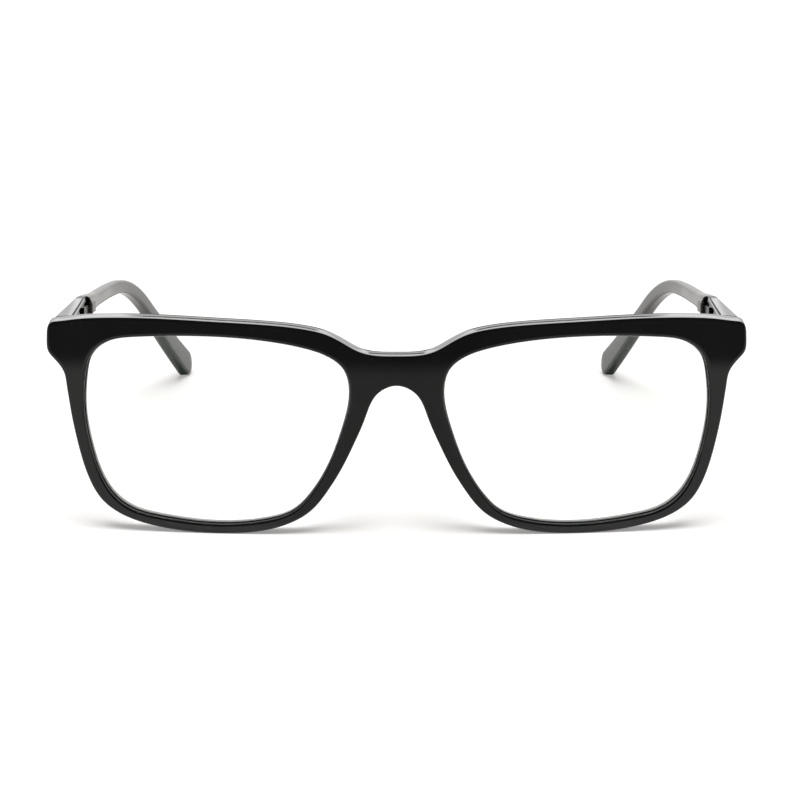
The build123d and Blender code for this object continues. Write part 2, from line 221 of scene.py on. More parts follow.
# Gunmetal plating reads as a dark warm grey with a soft glint; drawn wire as a lighter, cooler grey.
gunmetal = brushed_metal("gunmetal_plated_nickel_silver", "#46433f", "#2c2a28", 0.12 * MM, 0.22)
drawn_steel = brushed_metal("drawn_steel_wire", "#a3a3a3", "#808080", 0.08 * MM, 0.28)
print("materials:", [m.name for m in (acetate, lens_plastic, ground_edge, gunmetal, drawn_steel)])

# %% [markdown]
# ## Drawing a smooth outline
# The front's outline was measured at a few dozen places. A cubic curve that passes through all of them and
# closes on itself without a kink gives the line that the router follows. Each stretch between two points is
# a cubic, and the slopes at the points are the ones that also keep the bending continuous.


# %% Smooth outlines
def smooth_loop(points, count):
    """Places along the smooth closed curve through the given points."""
    p = np.array(points, float)
    size = len(p)
    gap = np.linalg.norm(np.roll(p, -1, 0) - p, axis=1)
    rise = (np.roll(p, -1, 0) - p) / gap[:, None]
    matrix = np.zeros((size, size))
    for i in range(size):
        matrix[i, i - 1] = gap[i]
        matrix[i, i] = 2 * (gap[i - 1] + gap[i])
        matrix[i, (i + 1) % size] = gap[i - 1]
    right = 3 * (gap[:, None] * np.roll(rise, 1, 0) + np.roll(gap, 1)[:, None] * rise)
    slope = np.linalg.solve(matrix, right)
    ends = np.concatenate([[0], np.cumsum(gap)])
    made = []
    for s in np.linspace(0, ends[-1], count, endpoint=False):
        i = min(np.searchsorted(ends, s, side="right") - 1, size - 1)
        t, h, j = (s - ends[i]) / gap[i], gap[i], (i + 1) % size
        made.append((2 * t**3 - 3 * t**2 + 1) * p[i] + (t**3 - 2 * t**2 + t) * h * slope[i]
                    + (3 * t**2 - 2 * t**3) * p[j] + (t**3 - t**2) * h * slope[j])
    return np.array(made)


def inward(loop):
    """Unit directions across a closed curve, pointing inside it."""
    run = np.roll(loop, -1, 0) - np.roll(loop, 1, 0)
    run /= np.linalg.norm(run, axis=1)[:, None]
    after = np.roll(loop, -1, 0)
    area = np.sum(loop[:, 0] * after[:, 1] - after[:, 0] * loop[:, 1])
    return np.stack([-run[:, 1], run[:, 0]], 1) * np.sign(area)


# %% [markdown]
# ## Rings
# Most pieces here are swept: a closed ring of vertices is extruded, and the new ring is moved to where the
# next section is. The operator keeps the faces between them, so there are no hand-made face lists.


# %% Rings
def start_ring(bm, places):
    """A closed loop of vertices and edges through the given places."""
    ring = [bm.verts.new(place) for place in places]
    for pair in zip(ring, ring[1:] + ring[:1]):
        bm.edges.new(pair)
    return ring


def next_ring(bm, ring, places):
    """Extrudes a closed loop and moves the new loop to the given places."""
    edges = [bm.edges.get(pair) for pair in zip(ring, ring[1:] + ring[:1])]
    extruded = bmesh.ops.extrude_edge_only(bm, edges=edges)["geom"]
    fresh = {v for v in extruded if isinstance(v, bmesh.types.BMVert)}
    made = []
    for vert, place in zip(ring, places):
        partner = next(e.other_vert(vert) for e in vert.link_edges if e.other_vert(vert) in fresh)
        partner.co = place
        made.append(partner)
    return made


def ring_edges(bm, *rings):
    """The edges of one or more closed loops."""
    return [bm.edges.get(pair) for ring in rings for pair in zip(ring, ring[1:] + ring[:1])]


# %% [markdown]
# ## Filling and cutting
# The flat sides between rings are filled with triangles and then cut into strips or a grid, so that they have
# vertices to bend with.


# %% Filling and cutting
ON_PLANE = 0.00001


def only_faces(geometry):
    """The faces among an operator's results."""
    return [g for g in geometry if isinstance(g, bmesh.types.BMFace)]


def fill_upright(bm, *rings):
    """Fills between closed loops that lie in an upright plane, and gives the new faces back."""
    return only_faces(bmesh.ops.triangle_fill(bm, use_beauty=True, use_dissolve=False, normal=(0, 1, 0),
                                              edges=ring_edges(bm, *rings))["geom"])


def cut_across(bm, faces, place, normal):
    """Cuts faces where they cross a plane, and gives all of them back."""
    geometry = {e for f in faces for e in f.edges} | {v for f in faces for v in f.verts} | set(faces)
    return only_faces(bmesh.ops.bisect_plane(bm, geom=list(geometry), dist=ON_PLANE, plane_co=place,
                                             plane_no=normal)["geom"])


# %% [markdown]
# ## Finished pieces
# Each piece is merged, shaded smoothly up to its sharp corners and put on the body that it moves with, and
# the measured solid that it stands for is hidden.

# %% Finished pieces
SAME_PLACE = 0.0005 * MM
SHARP = math.radians(35)


def smooth_but_corners(bm):
    """Shades a bmesh smoothly, except over sharp corners."""
    for face in bm.faces:
        face.smooth = True
    for edge in bm.edges:
        edge.smooth = not (len(edge.link_faces) == 2 and edge.calc_face_angle(0) > SHARP)


def add_piece(name, bm, material, body, stands_for):
    """Turns a bmesh into a piece of the model that rides on a body and stands for a measured solid."""
    bmesh.ops.remove_doubles(bm, verts=bm.verts, dist=SAME_PLACE)
    bmesh.ops.recalc_face_normals(bm, faces=bm.faces)
    smooth_but_corners(bm)
    mesh = bpy.data.meshes.new(name)
    bm.to_mesh(mesh)
    bm.free()
    mesh.materials.append(material)
    piece = bpy.data.objects.new(name, mesh)
    bpy.context.scene.collection.objects.link(piece)
    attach(piece, body)
    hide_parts(stands_for)
    low, high = piece.bound_box[0], piece.bound_box[6]
    print(name, len(mesh.polygons), "faces, size in mm", [round((b - a) / MM, 1) for a, b in zip(low, high)])
    return piece


# %% [markdown]
# ## The front's drawing
# These are the sizes in millimetres that the solids were made from: the lens openings, the rims round them,
# the bridge, and the sheet that is bent to a wide curve. The outline is kept as shares of those sizes, from
# the middle of the bridge's top round to the middle of the nose arch.

# %% The front's sizes
LENS_WIDTH, LENS_HEIGHT, BRIDGE_GAP = 53.2, 39.3, 18.7
RIM_SIDE, RIM_BOTTOM, BROW, OVERHANG = 3.2, 2.0, 3.3, 3.95
SHEET, SETBACK, LEAN, EDGE_ROUND = 4.0, 5.5, 4.0, 0.5
CENTRE_X = (BRIDGE_GAP + LENS_WIDTH) / 2
CENTRE_Z = RIM_BOTTOM + LENS_HEIGHT / 2
HALF_RIM = LENS_WIDTH / 2 + RIM_SIDE
HALF_UP = LENS_HEIGHT / 2 + BROW
HALF_DOWN = LENS_HEIGHT / 2 + RIM_BOTTOM
HALF_WIDTH = CENTRE_X + HALF_RIM + OVERHANG
FACE_RADIUS = (HALF_WIDTH**2 + SETBACK**2) / (2 * SETBACK)
WRAP = math.asin(CENTRE_X / FACE_RADIUS)

opening_shares = [
    (1.000, 0.20), (0.985, 0.53), (0.925, 0.79), (0.800, 0.921), (0.600, 0.974), (0.300, 0.997),
    (-0.030, 0.998), (-0.380, 0.962), (-0.670, 0.891), (-0.850, 0.801), (-0.955, 0.678), (-0.998, 0.500),
    (-0.993, 0.310), (-0.945, 0.050), (-0.868, -0.250), (-0.774, -0.510), (-0.685, -0.690), (-0.565, -0.850),
    (-0.380, -0.945), (-0.120, -0.996), (0.160, -0.993), (0.450, -0.944), (0.665, -0.868), (0.800, -0.730),
    (0.890, -0.530), (0.955, -0.245)]
bridge_top = [(0.00, 0.703), (0.40, 0.707), (0.76, 0.738), (1.10, 0.814), (1.45, 0.888)]
brow = [(-0.600, 0.938), (-0.330, 0.974), (0.000, 0.993), (0.400, 1.009), (0.720, 1.002), (0.930, 0.978),
        (1.060, 0.951)]
corner = [(0.986, 0.936), (0.9945, 0.890), (0.9975, 0.820), (0.9985, 0.745), (0.9955, 0.680), (0.982, 0.622)]
rim_outside = [(1.049, 0.560), (1.018, 0.486), (1.006, 0.390), (0.995, 0.265), (0.980, 0.110),
               (0.958, -0.065), (0.922, -0.298), (0.868, -0.532), (0.795, -0.706), (0.660, -0.848),
               (0.440, -0.947), (0.190, -0.994), (-0.050, -1.000), (-0.270, -0.974), (-0.480, -0.892),
               (-0.625, -0.768), (-0.739, -0.575), (-0.841, -0.340), (-0.922, -0.105)]
nose_arch = [(0.670, 0.132), (0.545, 0.270), (0.440, 0.342), (0.250, 0.405), (0.000, 0.433)]


def rim_point(out, up):
    """A place on the rim's outline from shares of the rim's half sizes."""
    return (CENTRE_X + out * HALF_RIM, CENTRE_Z + up * (HALF_UP if up > 0 else HALF_DOWN))


right_half = [(out * BRIDGE_GAP / 2, CENTRE_Z + up * HALF_UP) for out, up in bridge_top]
right_half += [rim_point(*row) for row in brow]
right_half += [(out * HALF_WIDTH, CENTRE_Z + up * HALF_UP) for out, up in corner]
right_half += [rim_point(*row) for row in rim_outside]
right_half += [(out * BRIDGE_GAP / 2, CENTRE_Z + up * HALF_UP) for out, up in nose_arch]
OUTLINE_PLACES, OPENING_PLACES = 1200, 480
outline = smooth_loop(right_half + [(-x, z) for x, z in reversed(right_half[1:-1])], OUTLINE_PLACES)
opening = smooth_loop([(out * LENS_WIDTH / 2, up * LENS_HEIGHT / 2) for out, up in opening_shares],
                      OPENING_PLACES)
print("front", round(2 * HALF_WIDTH, 1), "mm wide, face radius", round(FACE_RADIUS, 1), "mm")


# %% [markdown]
# ## Bending and standing the front
# The sheet is bent round an upright axis far behind it, so a depth in the sheet is measured towards that
# axis. The walls of the outline are cut straight back, while each lens opening is cut square to its own
# lens, which is turned outward by the wrap. The finished front leans a few degrees and stands on its lower
# rims.


# %% Bending
DEPTH_TRIES = 4


def bend(x, depth, z):
    """A place in the flat drawing as a place in the bent sheet."""
    return Vector((x, FACE_RADIUS - math.sqrt((FACE_RADIUS - depth)**2 - x**2), z))


def through_opening(u, v, back, side):
    """A place on the opening's cutting line: u across and v up from the lens's centre, then straight back."""
    x = CENTRE_X + u * math.cos(WRAP) - back * math.sin(WRAP)
    y = FACE_RADIUS * (1 - math.cos(WRAP)) + u * math.sin(WRAP) + back * math.cos(WRAP)
    return Vector((side * x, y, CENTRE_Z + v))


def depth_of(place):
    """How deep in the sheet a place lies, from the face."""
    return FACE_RADIUS - math.hypot(place.x, place.y - FACE_RADIUS)


def back_at_depth(u, v, depth):
    """How far back along the cutting line the sheet's given depth is reached."""
    back = depth
    for _ in range(DEPTH_TRIES):
        back += depth - depth_of(through_opening(u, v, back, 1))
    return back


JOINT_X, JOINT_BACK, JOINT_DROP = HALF_WIDTH - 6.4, 22.8, 3.6
joint = next(j for j in frame["joints"] if j["name"] == "temple_right_hinge")
joint_place = Vector(joint["pos_m"]) / MM
lean = math.radians(LEAN)


def leaned(place):
    """The upright drawing turned forward by the front's lean."""
    return Vector((place.x, place.y * math.cos(lean) - place.z * math.sin(lean),
                   place.y * math.sin(lean) + place.z * math.cos(lean)))


stand_shift = joint_place - leaned(Vector((JOINT_X, JOINT_BACK, HALF_UP + HALF_DOWN - JOINT_DROP)))


def stand(place):
    """A place in the upright drawing as the place in the standing model, in metres."""
    return (leaned(place) + stand_shift) * MM


print("the front is moved by", [round(c, 3) for c in stand_shift], "mm")

# %% [markdown]
# ## The front
# The front is one sheet with two openings. Its edge is a row of rings: a soft pillow where the buffing
# wheel rolled over, a rounded edge, a wall that bulges by a few hundredths, and the same at the back. The
# openings also get the groove that holds the lens. Face and back are then filled between the rings, and cut
# into narrow strips so that they can follow the bend.

# %% Edge profile
GROOVE_DEPTH, GROOVE_WIDTH = 0.8, 1.0
LENS_RADIUS, LENS_THICKNESS, LENS_DEPTH, LENS_GAP = 262.0, 1.8, 1.25, 0.05
ROUND_STEPS, ROUND_START = 5, 7
WALL_BULGE, PILLOW_DROP = 0.03, 0.01

pillow = [(0.9, 0.0), (0.76, 0.0), (0.62, 0.003)]
arc = [math.radians(ROUND_START + (90 - ROUND_START) * i / ROUND_STEPS) for i in range(ROUND_STEPS + 1)]
rounding = [(EDGE_ROUND * (1 - math.sin(a)) + WALL_BULGE, EDGE_ROUND * (1 - math.cos(a)) + PILLOW_DROP)
            for a in arc]
front_side = pillow + rounding
middle = [(WALL_BULGE * 0.35, SHEET * 0.3), (0.0, SHEET * 0.5), (WALL_BULGE * 0.35, SHEET * 0.7)]
back_side = [(inset, SHEET - depth) for inset, depth in reversed(front_side)]
print("rings in the outline's profile:", len(front_side + middle + back_side))


def seat_back(u, v, offset):
    """How far back along an opening's cutting line the lens's middle surface lies, plus an offset."""
    return LENS_DEPTH + LENS_RADIUS - math.sqrt(LENS_RADIUS**2 - u**2 - v**2) + offset


def flat(place):
    """A place in the bent sheet as its place in the flat drawing: across, depth, up."""
    return (place.x, depth_of(place), place.z)


# %% Front rings
bm = bmesh.new()
to_middle = inward(outline)
ring = None
outer_first = None
for inset, depth in front_side + middle + back_side:
    places = [(x, depth, z) for x, z in outline + inset * to_middle]
    ring = start_ring(bm, places) if ring is None else next_ring(bm, ring, places)
    outer_first = outer_first or ring
outer_last = ring

# A row of the opening's wall is how far it lies outside the drawn opening, then either its depth in the
# sheet or, in the groove, how far it lies behind the lens's middle surface.
first_rings, last_rings = [outer_first], [outer_last]
out_of_opening = -inward(opening)
for side in (1, -1):
    ring = None
    wall = [(inset, depth, None) for inset, depth in front_side]
    wall += [(0.0, None, -GROOVE_WIDTH / 2), (GROOVE_DEPTH, None, -GROOVE_WIDTH / 2),
             (GROOVE_DEPTH, None, GROOVE_WIDTH / 2), (0.0, None, GROOVE_WIDTH / 2)]
    wall += [(inset, depth, None) for inset, depth in back_side]
    for inset, depth, seat in wall:
        places = []
        for (u, v), (mu, mv) in zip(opening + inset * out_of_opening, opening):
            back = back_at_depth(u, v, depth) if seat is None else seat_back(mu, mv, seat)
            places.append(flat(through_opening(u, v, back, side)))
        if ring is None:
            ring = start_ring(bm, places)
            first_rings.append(ring)
        else:
            ring = next_ring(bm, ring, places)
    last_rings.append(ring)
print("front rings done:", len(bm.verts), "vertices")

# %% Front face and back
STRIP = 1.5
for rings in (first_rings, last_rings):
    faces = fill_upright(bm, *rings)
    for i in range(-int(HALF_WIDTH / STRIP), int(HALF_WIDTH / STRIP) + 1):
        faces = cut_across(bm, faces, ((i + 0.5) * STRIP, 0, 0), (1, 0, 0))
for vert in bm.verts:
    vert.co = stand(bend(*vert.co))
add_piece("front_acetate", bm, acetate, "front", "front_frame")

# %% [markdown]
# ## The lenses
# A lens is cut from a round blank with two nearly parallel curved faces. Its edge has a small safety bevel
# on each side and a ridge that sits in the rim's groove. It is swept in rings as the front is, the two
# faces are filled, cut into a fine grid and then pushed onto their spheres. The shading takes its
# directions from the spheres too, because a lens bends the light at every uneven triangle.

# %% Lenses
LENS_GRID = 2.5
SAFETY_BEVEL = 0.12
half_lens = LENS_THICKNESS / 2
ridge = GROOVE_WIDTH / 2 - LENS_GAP
lens_profile = [(-LENS_GAP - SAFETY_BEVEL, half_lens), (-LENS_GAP, half_lens - SAFETY_BEVEL),
                (-LENS_GAP, ridge), (GROOVE_DEPTH - LENS_GAP, ridge), (GROOVE_DEPTH - LENS_GAP, -ridge),
                (-LENS_GAP, -ridge), (-LENS_GAP, SAFETY_BEVEL - half_lens),
                (-LENS_GAP - SAFETY_BEVEL, -half_lens)]
for side, name in ((1, "right"), (-1, "left")):
    bm = bmesh.new()
    ring, ends = None, []
    for grow, forward in lens_profile:
        places = [(u, forward, v) for u, v in opening + grow * out_of_opening]
        ring = start_ring(bm, places) if ring is None else next_ring(bm, ring, places)
        ends.append(ring)
    for face in bm.faces:
        face.material_index = 1
    for ring in (ends[0], ends[-1]):
        faces = fill_upright(bm, ring)
        for face in faces:
            face.material_index = 0
        for half, normal in ((LENS_WIDTH / 2, Vector((1, 0, 0))), (LENS_HEIGHT / 2, Vector((0, 0, 1)))):
            for i in range(-int(half / LENS_GRID), int(half / LENS_GRID) + 1):
                faces = cut_across(bm, faces, (i + 0.5) * LENS_GRID * normal, normal)
    for vert in bm.verts:
        u, forward, v = vert.co
        radius = LENS_RADIUS + forward
        back = LENS_DEPTH + LENS_RADIUS - math.sqrt(radius**2 - u**2 - v**2)
        vert.co = stand(through_opening(u, v, back, side))
    lens = add_piece("lens_" + name + "_clear", bm, lens_plastic, "front", "lens_" + name)
    lens.data.materials.append(ground_edge)
    ball = stand(through_opening(0, 0, LENS_DEPTH + LENS_RADIUS, side))
    normals = []
    for face in lens.data.polygons:
        for index in face.vertices:
            away = (lens.data.vertices[index].co - ball).normalized()
            away *= 1 if away.dot(face.normal) > 0 else -1
            normals.append(away if face.material_index == 0 else Vector((0, 0, 0)))
    lens.data.normals_split_custom_set(normals)
    # Clear plastic hardly shades a table, so only the frame throws a shadow.
    lens.visible_shadow = False

# %% [markdown]
# ## Hinge frames
# Each temple, with the end of its lug, is drawn in its hinge's own frame: across, along the open temple,
# and up the screw. The two sides mirror each other, so a place is worked out for the right side and
# mirrored.

# %% Hinge frame
up_screw = Vector(joint["axis"])
along_temple = Vector((0, up_screw.z, -up_screw.y))


def at_hinge(x, y, z, side):
    """A place in the hinge's frame, in millimetres, as the place in the standing model, in metres."""
    place = joint_place + Vector((x, 0, 0)) + y * along_temple + z * up_screw
    return Vector((side * place.x, place.y, place.z)) * MM


def rounded_rectangle(width, height, radius, steps):
    """Places round a rectangle with round corners, from the upper right corner on."""
    made = []
    for corner_x, corner_z, start in ((1, 1, 0), (-1, 1, 90), (-1, -1, 180), (1, -1, 270)):
        for i in range(steps + 1):
            a = math.radians(start + 90 * i / steps)
            made.append((corner_x * (width / 2 - radius) + radius * math.cos(a),
                         corner_z * (height / 2 - radius) + radius * math.sin(a)))
    return made


print("hinge axis", [round(c, 4) for c in up_screw])

# %% [markdown]
# ## Temples
# A temple is milled from a strip, heated, and bent over a form for the ear. Its height and thickness ease
# from the joint to a slender middle and out to the rounded tip. The sections are set along the bent centre
# line, and the tip is the last section's two halves turned to meet, as a spin would turn them. Every
# section is a fiftieth of a millimetre inside the drawing, so that the smooth curve nowhere passes the
# measured solid's own facets.

# %% Temple path
STRAIGHT, BEND_RADIUS, BEND, TIP = 52.0, 88.0, math.radians(24.6), 39.0
TOE_IN, TOE_START, TOE_POWER, NECK = 10.0, 37.0, 1.57, 20.0
HIGH_JOINT, HIGH_STRAIGHT, HIGH_BEND, HIGH_TIP = 4.0, 3.0, 3.7, 6.4
THICK_JOINT, THICK_STRAIGHT, THICK_TIP = 3.0, 2.7, 3.0
TEMPLE_ROUND, TOP_ABOVE, CENTRE_OUT, JOINT_GAP = 0.8, 2.7, 0.9, 0.1
centre_up = TOP_ABOVE - HIGH_JOINT / 2
bend_length = BEND_RADIUS * BEND
bend_end = STRAIGHT + bend_length
temple_length = bend_end + TIP


def ease(first, last, share):
    """A value that eases from first to last, flat at both ends."""
    return first + (last - first) * (1 - math.cos(math.pi * share)) / 2


def temple_frame(t):
    """The centre line's place at a length t, with the directions across, up and along the temple."""
    turned = min(max(t - STRAIGHT, 0), bend_length) / BEND_RADIUS
    after = max(t - bend_end, 0)
    y = min(t, STRAIGHT) + BEND_RADIUS * math.sin(turned) + after * math.cos(turned)
    z = centre_up - BEND_RADIUS * (1 - math.cos(turned)) - after * math.sin(turned)
    run = temple_length - TOE_START
    share = max(t - TOE_START, 0) / run
    slope = -TOE_POWER * TOE_IN * share ** (TOE_POWER - 1) / run
    across = Vector((1, -slope * math.cos(turned), slope * math.sin(turned))).normalized()
    forward = Vector((slope, math.cos(turned), -math.sin(turned))).normalized()
    return Vector((CENTRE_OUT - TOE_IN * share**TOE_POWER, y, z)), across, across.cross(forward), forward


def temple_size(t):
    """The temple's thickness and height."""
    if t < NECK:
        return ease(THICK_JOINT, THICK_STRAIGHT, t / NECK), ease(HIGH_JOINT, HIGH_STRAIGHT, t / NECK)
    thick = ease(THICK_STRAIGHT, THICK_TIP, max(t - STRAIGHT, 0) / (temple_length - STRAIGHT))
    if t < bend_end:
        return thick, ease(HIGH_STRAIGHT, HIGH_BEND, max(t - STRAIGHT, 0) / bend_length)
    return thick, HIGH_BEND + (HIGH_TIP - HIGH_BEND) * (t - bend_end) / TIP


print("temple", round(temple_length, 1), "mm from the joint to where its tip rounds off")

# %% Cutting the barrel's space
KNUCKLE, KNUCKLE_HIGH, KNUCKLE_GAP = 1.1, 0.8, 0.05
SCREW_HEAD, HEAD_ROOM, BARREL_ROOM = 0.45, 0.15, 0.25
DRILL_SIDES, DRILL_LONGER = 48, 2
RELIEF = KNUCKLE + BARREL_ROOM
RELIEF_TOP = 1.5 * KNUCKLE_HIGH + KNUCKLE_GAP + SCREW_HEAD + HEAD_ROOM
RELIEF_LOW = centre_up - HIGH_JOINT


def bore_for_hinge(piece, side):
    """Cuts the round space for the hinge's barrel out of a piece, open below."""
    bm = bmesh.new()
    bmesh.ops.create_cone(bm, cap_ends=True, segments=DRILL_SIDES, radius1=RELIEF, radius2=RELIEF,
                          depth=RELIEF_TOP - RELIEF_LOW + DRILL_LONGER)
    middle_up = (RELIEF_TOP + RELIEF_LOW - DRILL_LONGER) / 2
    for vert in bm.verts:
        vert.co = at_hinge(vert.co.x, vert.co.y, vert.co.z + middle_up, side)
    bmesh.ops.recalc_face_normals(bm, faces=bm.faces)
    mesh = bpy.data.meshes.new("cutter")
    bm.to_mesh(mesh)
    bm.free()
    cutter = bpy.data.objects.new("cutter", mesh)
    bpy.context.scene.collection.objects.link(cutter)
    drill = piece.modifiers.new("barrel_space", "BOOLEAN")
    drill.operation, drill.solver, drill.object = "DIFFERENCE", "EXACT", cutter
    bpy.context.view_layer.update()
    done = bpy.data.meshes.new_from_object(piece.evaluated_get(bpy.context.evaluated_depsgraph_get()))
    piece.modifiers.clear()
    old, piece.data = piece.data, done
    bpy.data.meshes.remove(old)
    bpy.data.objects.remove(cutter)
    bm = bmesh.new()
    bm.from_mesh(done)
    bmesh.ops.remove_doubles(bm, verts=bm.verts, dist=SAME_PLACE)
    smooth_but_corners(bm)
    bm.to_mesh(done)
    bm.free()
    print(piece.name, "bored,", len(done.polygons), "faces")


# %% Temples
SECTIONS, CORNER_STEPS, TIP_STEPS = 240, 6, 12
EDGE_BREAK, BREAK_HALFWAY = 0.12, 0.036
EDGE_BREAKS = [(0.0, EDGE_BREAK), (BREAK_HALFWAY, BREAK_HALFWAY), (EDGE_BREAK, 0.0)]
WITHIN = 0.02
start = JOINT_GAP / 2
stations = [(start + back, inset) for inset, back in reversed(EDGE_BREAKS)]
stations += [(start + EDGE_BREAK + (temple_length - start - EDGE_BREAK) * i / SECTIONS, 0.0)
             for i in range(1, SECTIONS + 1)]
for side, name in ((1, "right"), (-1, "left")):
    bm = bmesh.new()
    ring = None
    for t, inset in stations:
        centre, across, up, forward = temple_frame(t)
        thick, high = temple_size(t)
        inset += WITHIN
        section = rounded_rectangle(thick - 2 * inset, high - 2 * inset, TEMPLE_ROUND - inset,
                                    CORNER_STEPS)
        places = [at_hinge(*(centre + a * across + b * up), side) for a, b in section]
        ring = start_ring(bm, places) if ring is None else next_ring(bm, ring, places)
        if t == start:
            bmesh.ops.triangle_fill(bm, use_beauty=True, use_dissolve=False, edges=ring_edges(bm, ring))
    for i in range(1, TIP_STEPS + 1):
        turn = math.radians(90 * i / TIP_STEPS)
        rise, reach = math.cos(turn), math.sin(turn)
        places = [at_hinge(*(centre + a * across + b * rise * up + abs(b) * reach * forward), side)
                  for a, b in section]
        ring = next_ring(bm, ring, places)
    temple = add_piece("temple_" + name + "_acetate", bm, acetate, "temple_" + name + "_body",
                       "temple_" + name)
    bore_for_hinge(temple, side)

# %% [markdown]
# ## Lugs
# Behind each corner a block of the same acetate is bonded on, so that the hinge has something to hold on
# to. It narrows from its root to the joint, where its end face meets the temple's.

# %% Lugs
BLOCK_HIGH, BLOCK_TOP, BLOCK_SIDE, BLOCK_IN = 5.9, 1.0, 0.9, 0.1
BLOCK_SLOPE, ROOT_ROUND, BLOCK_ROUND = math.radians(8.0), 1.2, 0.6
BLOCK_STEPS, HALVINGS = 8, 30
root_in, root_out = JOINT_X + BLOCK_IN, HALF_WIDTH - BLOCK_SIDE
root_top = HALF_UP + HALF_DOWN - BLOCK_TOP
end_out = CENTRE_OUT + THICK_JOINT / 2
root = [((root_in + root_out) / 2 + x * math.cos(BLOCK_SLOPE) + z * math.sin(BLOCK_SLOPE),
         root_top - BLOCK_HIGH / 2 - x * math.sin(BLOCK_SLOPE) + z * math.cos(BLOCK_SLOPE))
        for x, z in rounded_rectangle(root_out - root_in, BLOCK_HIGH, ROOT_ROUND, CORNER_STEPS)]


def root_on_back(start, end):
    """Where the straight line from a root place to its end place leaves the front's back face."""
    low, high = 0.0, 1.0
    for _ in range(HALVINGS):
        share = (low + high) / 2
        place = start.lerp(end, share) / MM - stand_shift
        back = place.y * math.cos(lean) + place.z * math.sin(lean)
        if math.hypot(place.x, back - FACE_RADIUS) > FACE_RADIUS - SHEET:
            low = share
        else:
            high = share
    return start.lerp(end, low)


for side, name in ((1, "right"), (-1, "left")):
    bm = bmesh.new()
    ring = None
    rows = []
    for inset, back in EDGE_BREAKS:
        inset += WITHIN
        section = rounded_rectangle(end_out - BLOCK_IN - 2 * inset, HIGH_JOINT - 2 * inset,
                                    BLOCK_ROUND - inset, CORNER_STEPS)
        rows.append([at_hinge(x + (BLOCK_IN + end_out) / 2, -JOINT_GAP / 2 - back, z + centre_up, side)
                     for x, z in section])
    starts = [stand(Vector((side * x, SETBACK + SHEET / 2, z))) for x, z in root]
    roots = [root_on_back(a, b) for a, b in zip(starts, rows[0])]
    between = [[a.lerp(b, i / BLOCK_STEPS) for a, b in zip(roots, rows[0])] for i in range(1, BLOCK_STEPS)]
    for places in [roots] + between + rows:
        ring = start_ring(bm, places) if ring is None else next_ring(bm, ring, places)
        if places is roots or places is rows[-1]:
            bmesh.ops.triangle_fill(bm, use_beauty=True, use_dissolve=False, edges=ring_edges(bm, ring))
    block = add_piece("end_block_" + name + "_acetate", bm, acetate, "front",
                      "end_block_" + name)
    bore_for_hinge(block, side)

# %% [markdown]
# ## Nose pads
# The pads are milled from acetate and bonded behind the nose flanks. Seen from behind they are slim rounded
# ovals that stand a few millimetres proud, with their crowns polished round.

# %% Nose pads
PAD_DEPTH, PAD_LONG, PAD_WIDE, CROWN_LONG, CROWN_WIDE, PAD_TILT = 4.0, 13.0, 2.3, 9.5, 1.3, 26.0
PAD_ROUND, PAD_STEPS, CROWN_STEPS, PAD_CORNER_STEPS, CROWN_START = 0.48, 10, 6, 8, 0.9
pad_x, pad_z = rim_point(-0.868, -0.100)


def pad_ring(share, inset, side):
    """Places round the pad at a share of its height above its base, which lies inside the sheet."""
    long = PAD_LONG + (CROWN_LONG - PAD_LONG) * share - 2 * inset
    wide = PAD_WIDE + (CROWN_WIDE - PAD_WIDE) * share - 2 * inset
    tilt = math.radians(90 - PAD_TILT)
    base, crown = SHEET / 2, SHEET + PAD_DEPTH
    places = []
    for a, b in rounded_rectangle(long, wide, wide / 2, PAD_CORNER_STEPS):
        x = pad_x + a * math.cos(tilt) - b * math.sin(tilt)
        z = pad_z - a * math.sin(tilt) - b * math.cos(tilt)
        y = base + (crown - base) * share
        places.append(Vector((x, max(y, bend(x, SHEET, z).y), z)))
    return [stand(Vector((side * p.x, p.y, p.z))) for p in places]


foot = SHEET / 2 / (SHEET / 2 + PAD_DEPTH)
for side, name in ((1, "right"), (-1, "left")):
    bm = bmesh.new()
    rows = [(foot + (CROWN_START - foot) * i / PAD_STEPS, 0.0) for i in range(PAD_STEPS + 1)]
    for i in range(1, CROWN_STEPS + 1):
        turn = math.radians(90 * i / CROWN_STEPS)
        rows.append((CROWN_START + (1 - CROWN_START) * math.sin(turn), PAD_ROUND * (1 - math.cos(turn))))
    ring = None
    for share, inset in rows:
        places = pad_ring(share, inset, side)
        ring = start_ring(bm, places) if ring is None else next_ring(bm, ring, places)
        if (share, inset) in (rows[0], rows[-1]):
            bmesh.ops.triangle_fill(bm, use_beauty=True, use_dissolve=False, edges=ring_edges(bm, ring))
    add_piece("nose_pad_" + name + "_acetate", bm, acetate, "front", "nose_pad_" + name)

# %% [markdown]
# ## Hinges, screws and core wires
# The measured solids already have the hinges' real shapes, so their meshes are copied. A solid arrives as
# loose triangles; merging a copy's doubles lets its round faces shade smoothly while its corners stay
# sharp.

# %% Metal pieces
for name, solid in frame["nodes"].items():
    if not name.startswith(("hinge", "core")):
        continue
    bm = bmesh.new()
    bm.from_mesh(solid.data)
    metal = gunmetal if name.startswith("hinge") else drawn_steel
    body = next(b for b, members in frame["record"]["behaviour"]["bodies"].items() if name in members)
    add_piece(name + "_metal", bm, metal, body, name)
